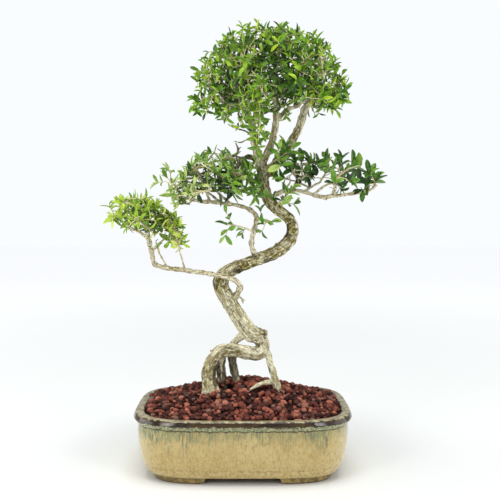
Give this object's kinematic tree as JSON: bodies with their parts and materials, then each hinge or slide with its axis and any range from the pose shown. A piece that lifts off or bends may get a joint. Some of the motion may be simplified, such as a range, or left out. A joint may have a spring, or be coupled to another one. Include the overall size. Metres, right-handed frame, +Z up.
{
  "type": "serissa bonsai",
  "caption": "Serissa bonsai with an S-shaped trunk on exposed roots, foliage pads and a rounded crown, in a glazed rectangular pot of red lava gravel.",
  "frame": {"origin": "centre of the bounding box's base, on the surface the pot's feet stand on", "axes": "+Z up, +X along the pot's width to the viewer's right, -Y towards the tree's front"},
  "size_m": [0.2957, 0.165, 0.4442],
  "materials": {
    "glaze": "glossy speckled mustard glaze with green-grey runs",
    "drain_mesh": "matt black plastic mesh",
    "soil": "dark damp granular potting mix",
    "gravel": "rough dry red lava gravel",
    "bark": "pale fissured bark with olive stains",
    "leaf_crown": "satin green leaf",
    "leaf_left": "satin dark green leaf",
    "leaf_right": "satin dark green leaf",
    "leaf_low": "satin mid green leaf",
    "leaf_inner": "satin bright green leaf"
  },
  "bodies": {
    "root": {"crown_spray_01": "leaf_crown", "crown_spray_02": "leaf_crown", "crown_spray_03": "leaf_crown", "crown_spray_04": "leaf_crown", "crown_spray_05": "leaf_crown", "crown_spray_06": "leaf_crown", "crown_spray_07": "leaf_crown", "crown_spray_08": "leaf_crown", "crown_spray_09": "leaf_crown", "crown_spray_10": "leaf_crown", "crown_spray_11": "leaf_crown", "crown_spray_12": "leaf_crown", "crown_spray_13": "leaf_crown", "crown_spray_14": "leaf_crown", "crown_spray_15": "leaf_crown", "crown_spray_16": "leaf_crown", "crown_spray_17": "leaf_crown", "crown_spray_18": "leaf_crown", "crown_spray_19": "leaf_crown", "drain_mesh_left": "drain_mesh", "drain_mesh_right": "drain_mesh", "gravel": "gravel", "inner_spray_01": "leaf_inner", "inner_spray_02": "leaf_inner", "inner_spray_03": "leaf_inner", "inner_spray_04": "leaf_inner", "inner_spray_05": "leaf_inner", "inner_spray_06": "leaf_inner", "inner_spray_07": "leaf_inner", "left_pad_spray_01": "leaf_left", "left_pad_spray_02": "leaf_left", "left_pad_spray_03": "leaf_left", "left_pad_spray_04": "leaf_left", "left_pad_spray_05": "leaf_left", "left_pad_spray_06": "leaf_left", "left_pad_spray_07": "leaf_left", "left_pad_spray_08": "leaf_left", "low_pad_spray_01": "leaf_low", "low_pad_spray_02": "leaf_low", "low_pad_spray_03": "leaf_low", "low_pad_spray_04": "leaf_low", "low_pad_spray_05": "leaf_low", "low_pad_spray_06": "leaf_low", "low_pad_spray_07": "leaf_low", "pot": "glaze", "right_pad_spray_01": "leaf_right", "right_pad_spray_02": "leaf_right", "right_pad_spray_03": "leaf_right", "right_pad_spray_04": "leaf_right", "right_pad_spray_05": "leaf_right", "right_pad_spray_06": "leaf_right", "right_pad_spray_07": "leaf_right", "right_pad_spray_08": "leaf_right", "soil": "soil", "tree": "bark"}
  },
  "joints": []
}
